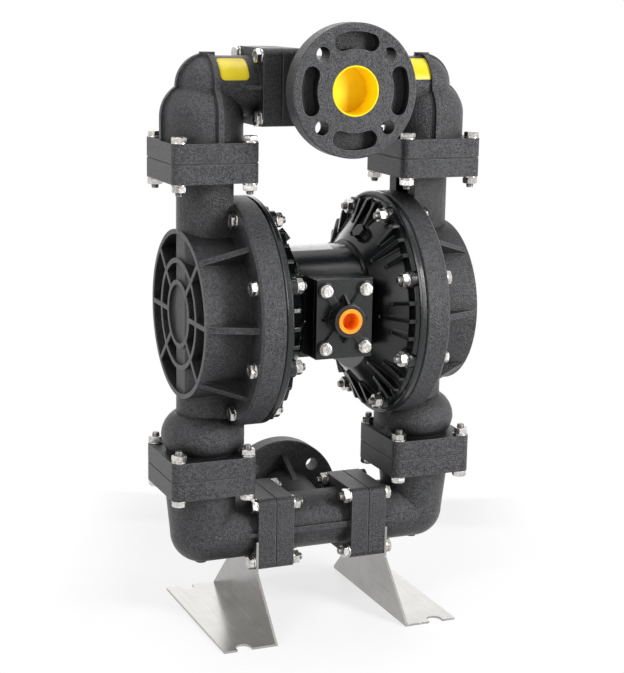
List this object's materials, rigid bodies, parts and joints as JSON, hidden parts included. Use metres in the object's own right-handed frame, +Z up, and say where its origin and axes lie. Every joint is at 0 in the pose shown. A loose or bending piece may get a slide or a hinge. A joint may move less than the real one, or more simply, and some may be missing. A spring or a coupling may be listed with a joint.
{
  "type": "air operated diaphragm pump",
  "caption": "Upright double diaphragm pump in black plastic, round flanged ports at top front and bottom back, ribbed chambers, steel feet.",
  "frame": {"origin": "on the floor under the middle of the pump, centred between the feet and the chambers", "axes": "+Z up along the pump's height; X along the diaphragm rod, from the left chamber to the right one; -Y to the front, where the discharge flange and the air inlet face"},
  "size_m": [0.425, 0.298, 0.791],
  "materials": {
    "moulded_black_plastic": "moulded, fine grain",
    "smooth_black_plastic": "moulded, satin",
    "stainless_fasteners": "stainless steel",
    "brushed_stainless": "brushed stainless sheet",
    "black_rubber": "moulded rubber",
    "ball_rubber": "ground rubber",
    "white_plastic": "machined plastic",
    "machined_steel": "machined steel",
    "plate_plastic": "moulded plastic",
    "valve_plastic": "moulded plastic",
    "yellow_plug": "soft moulded plastic",
    "orange_plug": "soft moulded plastic"
  },
  "bodies": {
    "pump": {"air_inlet_plate": "smooth_black_plastic", "air_valve_block": "smooth_black_plastic", "centre_block": "smooth_black_plastic", "chamber_bolts": "stainless_fasteners", "chamber_nuts": "stainless_fasteners", "column_bolts": "stainless_fasteners", "column_nuts": "stainless_fasteners", "discharge_tee": "moulded_black_plastic", "exhaust_muffler": "smooth_black_plastic", "inlet_gasket": "black_rubber", "inlet_screws": "stainless_fasteners", "left_block_gasket": "black_rubber", "left_diaphragm": "black_rubber", "left_discharge_elbow": "moulded_black_plastic", "left_discharge_seat": "white_plastic", "left_foot": "brushed_stainless", "left_inner_cover": "smooth_black_plastic", "left_outer_cover": "moulded_black_plastic", "left_suction_elbow": "moulded_black_plastic", "left_suction_seat": "white_plastic", "manifold_bolts": "stainless_fasteners", "manifold_nuts": "stainless_fasteners", "manifold_seals": "black_rubber", "pilot_sleeve": "valve_plastic", "right_block_gasket": "black_rubber", "right_diaphragm": "black_rubber", "right_discharge_elbow": "moulded_black_plastic", "right_discharge_seat": "white_plastic", "right_foot": "brushed_stainless", "right_inner_cover": "smooth_black_plastic", "right_outer_cover": "moulded_black_plastic", "right_suction_elbow": "moulded_black_plastic", "right_suction_seat": "white_plastic", "rod_bushes": "white_plastic", "rod_seals": "black_rubber", "seat_seals": "black_rubber", "service_plugs": "smooth_black_plastic", "suction_tee": "moulded_black_plastic", "valve_end_plugs": "smooth_black_plastic"},
    "rod_set": {"diaphragm_rod": "machined_steel", "left_inner_plate": "machined_steel", "right_inner_plate": "machined_steel", "left_outer_plate": "plate_plastic", "right_outer_plate": "plate_plastic"},
    "right_suction_ball": {"right_suction_ball": "ball_rubber"},
    "left_suction_ball": {"left_suction_ball": "ball_rubber"},
    "right_discharge_ball": {"right_discharge_ball": "ball_rubber"},
    "left_discharge_ball": {"left_discharge_ball": "ball_rubber"},
    "valve_spool": {"valve_spool": "valve_plastic"},
    "pilot_rod": {"pilot_rod": "machined_steel"},
    "discharge_plug": {"discharge_plug": "yellow_plug"},
    "suction_plug": {"suction_plug": "yellow_plug"},
    "air_plug": {"air_plug": "orange_plug"}
  },
  "joints": [
    {"name": "rod_stroke", "type": "slide", "parent": "pump", "child": "rod_set", "axis": [1, 0, 0], "range_m": [-0.015, 0.015], "deforming": ["left_diaphragm", "right_diaphragm"]},
    {"name": "right_suction_ball_lift", "type": "slide", "parent": "pump", "child": "right_suction_ball", "axis": [0, 0, 1], "range_m": [0, 0.013]},
    {"name": "left_suction_ball_lift", "type": "slide", "parent": "pump", "child": "left_suction_ball", "axis": [0, 0, 1], "range_m": [0, 0.013]},
    {"name": "right_discharge_ball_lift", "type": "slide", "parent": "pump", "child": "right_discharge_ball", "axis": [0, 0, 1], "range_m": [0, 0.013]},
    {"name": "left_discharge_ball_lift", "type": "slide", "parent": "pump", "child": "left_discharge_ball", "axis": [0, 0, 1], "range_m": [0, 0.013]},
    {"name": "valve_spool_shift", "type": "slide", "parent": "pump", "child": "valve_spool", "axis": [1, 0, 0], "range_m": [-0.005, 0.005]},
    {"name": "pilot_rod_shift", "type": "slide", "parent": "pump", "child": "pilot_rod", "axis": [1, 0, 0], "range_m": [-0.003, 0.003]},
    {"name": "discharge_plug_pull", "type": "slide", "parent": "pump", "child": "discharge_plug", "axis": [0, -1, 0], "range_m": [0, 0.045]},
    {"name": "suction_plug_pull", "type": "slide", "parent": "pump", "child": "suction_plug", "axis": [0, 1, 0], "range_m": [0, 0.045]},
    {"name": "air_plug_pull", "type": "slide", "parent": "pump", "child": "air_plug", "axis": [0, -1, 0], "range_m": [0, 0.03]}
  ]
}
